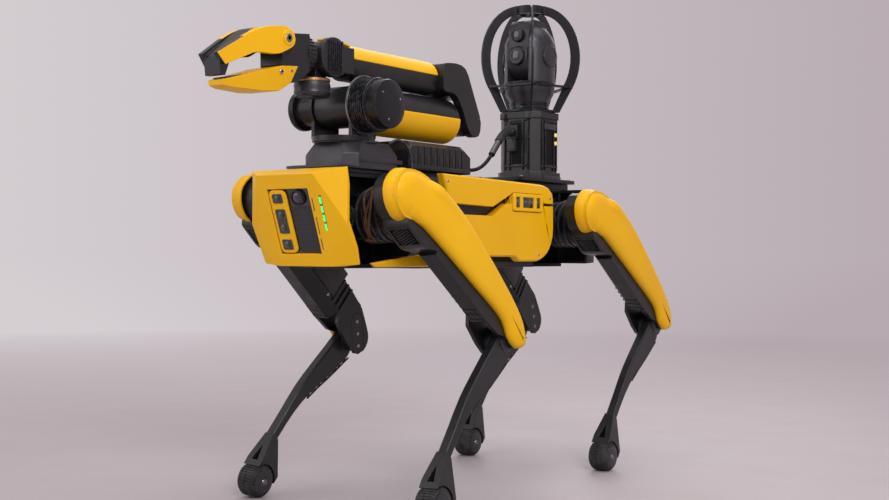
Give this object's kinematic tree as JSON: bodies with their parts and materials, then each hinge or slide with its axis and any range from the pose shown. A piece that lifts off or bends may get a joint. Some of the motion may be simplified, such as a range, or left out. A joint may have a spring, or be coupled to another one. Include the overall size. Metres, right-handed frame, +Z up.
{
  "type": "quadruped robot",
  "caption": "Walking robot dog with jointed legs, a stowed manipulator arm with gripper and a caged pan-tilt camera on its back.",
  "frame": {"origin": "centre of the bounding box at floor level, under the body", "axes": "+X forwards (face and gripper), +Y to the robot's left, +Z up"},
  "size_m": [1.1824, 0.4284, 0.953],
  "materials": {
    "black_metal": "black anodised and coated metal",
    "black_shell": "fine textured moulded plastic",
    "yellow_shell": "satin moulded plastic",
    "glass": "glossy dark window",
    "light": "lit green lens",
    "grey_metal": "satin",
    "red_button": "glossy red",
    "rubber": "moulded rubber"
  },
  "bodies": {
    "body": {"chassis_frame": "black_metal", "battery_pack": "black_shell", "face_shell": "yellow_shell", "face_panel": "glass", "face_sensor_bezel": "yellow_shell", "status_light": "light", "rear_cover": "black_shell", "side_panel_left": "yellow_shell", "side_panel_right": "yellow_shell", "side_sensor_left": "yellow_shell", "side_sensor_right": "yellow_shell", "top_rail_left": "black_metal", "top_rail_right": "black_metal", "arm_base": "black_shell", "computer_case": "black_shell", "payload_plate": "black_metal", "payload_tower": "black_shell", "camera_cage": "black_metal", "camera_cable": "rubber"},
    "power_button": {"power_button": "grey_metal"},
    "lockout_button": {"lockout_button": "red_button"},
    "hip_front_left": {"hip_housing_front_left": "black_metal"},
    "thigh_front_left": {"thigh_frame_front_left": "black_shell", "thigh_cover_front_left": "yellow_shell", "knee_cover_front_left": "black_shell"},
    "shank_front_left": {"shank_front_left": "black_shell", "foot_front_left": "rubber"},
    "hip_front_right": {"hip_housing_front_right": "black_metal"},
    "thigh_front_right": {"thigh_frame_front_right": "black_shell", "thigh_cover_front_right": "yellow_shell", "knee_cover_front_right": "black_shell"},
    "shank_front_right": {"shank_front_right": "black_shell", "foot_front_right": "rubber"},
    "hip_rear_left": {"hip_housing_rear_left": "black_metal"},
    "thigh_rear_left": {"thigh_frame_rear_left": "black_shell", "thigh_cover_rear_left": "yellow_shell", "knee_cover_rear_left": "black_shell"},
    "shank_rear_left": {"shank_rear_left": "black_shell", "foot_rear_left": "rubber"},
    "hip_rear_right": {"hip_housing_rear_right": "black_metal"},
    "thigh_rear_right": {"thigh_frame_rear_right": "black_shell", "thigh_cover_rear_right": "yellow_shell", "knee_cover_rear_right": "black_shell"},
    "shank_rear_right": {"shank_rear_right": "black_shell", "foot_rear_right": "rubber"},
    "arm_turret": {"arm_turret": "black_metal", "shoulder_motor_left": "black_metal", "shoulder_motor_right": "black_metal"},
    "upper_arm": {"upper_arm": "black_shell", "upper_arm_cover": "yellow_shell"},
    "elbow": {"elbow_link": "black_shell"},
    "forearm": {"forearm_tube": "black_shell", "forearm_cover": "yellow_shell"},
    "wrist": {"wrist_pitch_link": "black_metal"},
    "gripper": {"gripper_palm": "black_shell", "lower_jaw_cover": "yellow_shell"},
    "jaw": {"upper_jaw": "yellow_shell"},
    "camera_yoke": {"camera_pan_base": "black_shell"},
    "camera_head": {"camera_tilt_head": "black_shell"}
  },
  "joints": [
    {"name": "hip_roll_front_left", "type": "hinge", "parent": "body", "child": "hip_front_left", "pos_m": [0.28221, 0.055, 0.49799], "axis": [1, 0, 0], "range_deg": [-10, 20]},
    {"name": "hip_pitch_front_left", "type": "hinge", "parent": "hip_front_left", "child": "thigh_front_left", "pos_m": [0.28221, 0.16579, 0.50477], "axis": [0, 0.9981, 0.061], "range_deg": [-100, 30]},
    {"name": "knee_front_left", "type": "hinge", "parent": "thigh_front_left", "child": "shank_front_left", "pos_m": [0.05041, 0.17935, 0.28316], "axis": [0, -0.9981, -0.061], "range_deg": [-75, 50]},
    {"name": "hip_roll_front_right", "type": "hinge", "parent": "body", "child": "hip_front_right", "pos_m": [0.28221, -0.055, 0.49799], "axis": [-1, 0, 0], "range_deg": [-10, 20]},
    {"name": "hip_pitch_front_right", "type": "hinge", "parent": "hip_front_right", "child": "thigh_front_right", "pos_m": [0.28221, -0.16579, 0.50477], "axis": [0, 0.9981, -0.061], "range_deg": [-100, 30]},
    {"name": "knee_front_right", "type": "hinge", "parent": "thigh_front_right", "child": "shank_front_right", "pos_m": [0.0579, -0.17981, 0.27561], "axis": [0, -0.9981, 0.061], "range_deg": [-75, 50]},
    {"name": "hip_roll_rear_left", "type": "hinge", "parent": "body", "child": "hip_rear_left", "pos_m": [-0.31379, 0.055, 0.49799], "axis": [1, 0, 0], "range_deg": [-10, 26]},
    {"name": "hip_pitch_rear_left", "type": "hinge", "parent": "hip_rear_left", "child": "thigh_rear_left", "pos_m": [-0.31379, 0.166, 0.49799], "axis": [0, 1, 0], "range_deg": [-30, 75]},
    {"name": "knee_rear_left", "type": "hinge", "parent": "thigh_rear_left", "child": "shank_rear_left", "pos_m": [-0.55725, 0.166, 0.28883], "axis": [0, -1, 0], "range_deg": [-75, 50]},
    {"name": "hip_roll_rear_right", "type": "hinge", "parent": "body", "child": "hip_rear_right", "pos_m": [-0.31379, -0.055, 0.49799], "axis": [-1, 0, 0], "range_deg": [-10, 26]},
    {"name": "hip_pitch_rear_right", "type": "hinge", "parent": "hip_rear_right", "child": "thigh_rear_right", "pos_m": [-0.31379, -0.166, 0.49799], "axis": [0, 1, 0], "range_deg": [-30, 75]},
    {"name": "knee_rear_right", "type": "hinge", "parent": "thigh_rear_right", "child": "shank_rear_right", "pos_m": [-0.55357, -0.166, 0.28461], "axis": [0, -1, 0], "range_deg": [-75, 50]},
    {"name": "arm_yaw", "type": "hinge", "parent": "body", "child": "arm_turret", "pos_m": [0.27621, 0, 0.49799], "axis": [0, 0, 1], "range_deg": [-20, 20]},
    {"name": "arm_shoulder", "type": "hinge", "parent": "arm_turret", "child": "upper_arm", "pos_m": [0.27621, 0, 0.68599], "axis": [0, 1, 0], "range_deg": [0, 15]},
    {"name": "arm_elbow", "type": "hinge", "parent": "upper_arm", "child": "elbow", "pos_m": [-0.06229, 0, 0.68599], "axis": [0, -1, 0], "range_deg": [0, 110]},
    {"name": "forearm_roll", "type": "hinge", "parent": "elbow", "child": "forearm", "pos_m": [-0.06229, 0, 0.76099], "axis": [1, 0, 0], "range_deg": [-20, 20]},
    {"name": "wrist_pitch", "type": "hinge", "parent": "forearm", "child": "wrist", "pos_m": [0.34071, 0, 0.76099], "axis": [0, 1, 0], "range_deg": [-60, 18]},
    {"name": "wrist_roll", "type": "hinge", "parent": "wrist", "child": "gripper", "pos_m": [0.34071, 0, 0.76099], "axis": [1, 0, 0], "range_deg": [-165, 165]},
    {"name": "gripper_jaw", "type": "hinge", "parent": "gripper", "child": "jaw", "pos_m": [0.45821, 0, 0.77579], "axis": [0, 1, 0], "range_deg": [-90, 0]},
    {"name": "camera_pan", "type": "hinge", "parent": "body", "child": "camera_yoke", "pos_m": [-0.31579, 0, 0.84499], "axis": [0, 0, 1], "continuous": true},
    {"name": "camera_tilt", "type": "hinge", "parent": "camera_yoke", "child": "camera_head", "pos_m": [-0.31579, 0, 0.84499], "axis": [0, 1, 0], "range_deg": [-90, 30]},
    {"name": "power_press", "type": "slide", "parent": "body", "child": "power_button", "axis": [1, 0, 0], "range_m": [0, 0.0012], "stiffness_N_per_m": 800},
    {"name": "lockout_press", "type": "slide", "parent": "body", "child": "lockout_button", "axis": [1, 0, 0], "range_m": [0, 0.0012], "stiffness_N_per_m": 800}
  ]
}
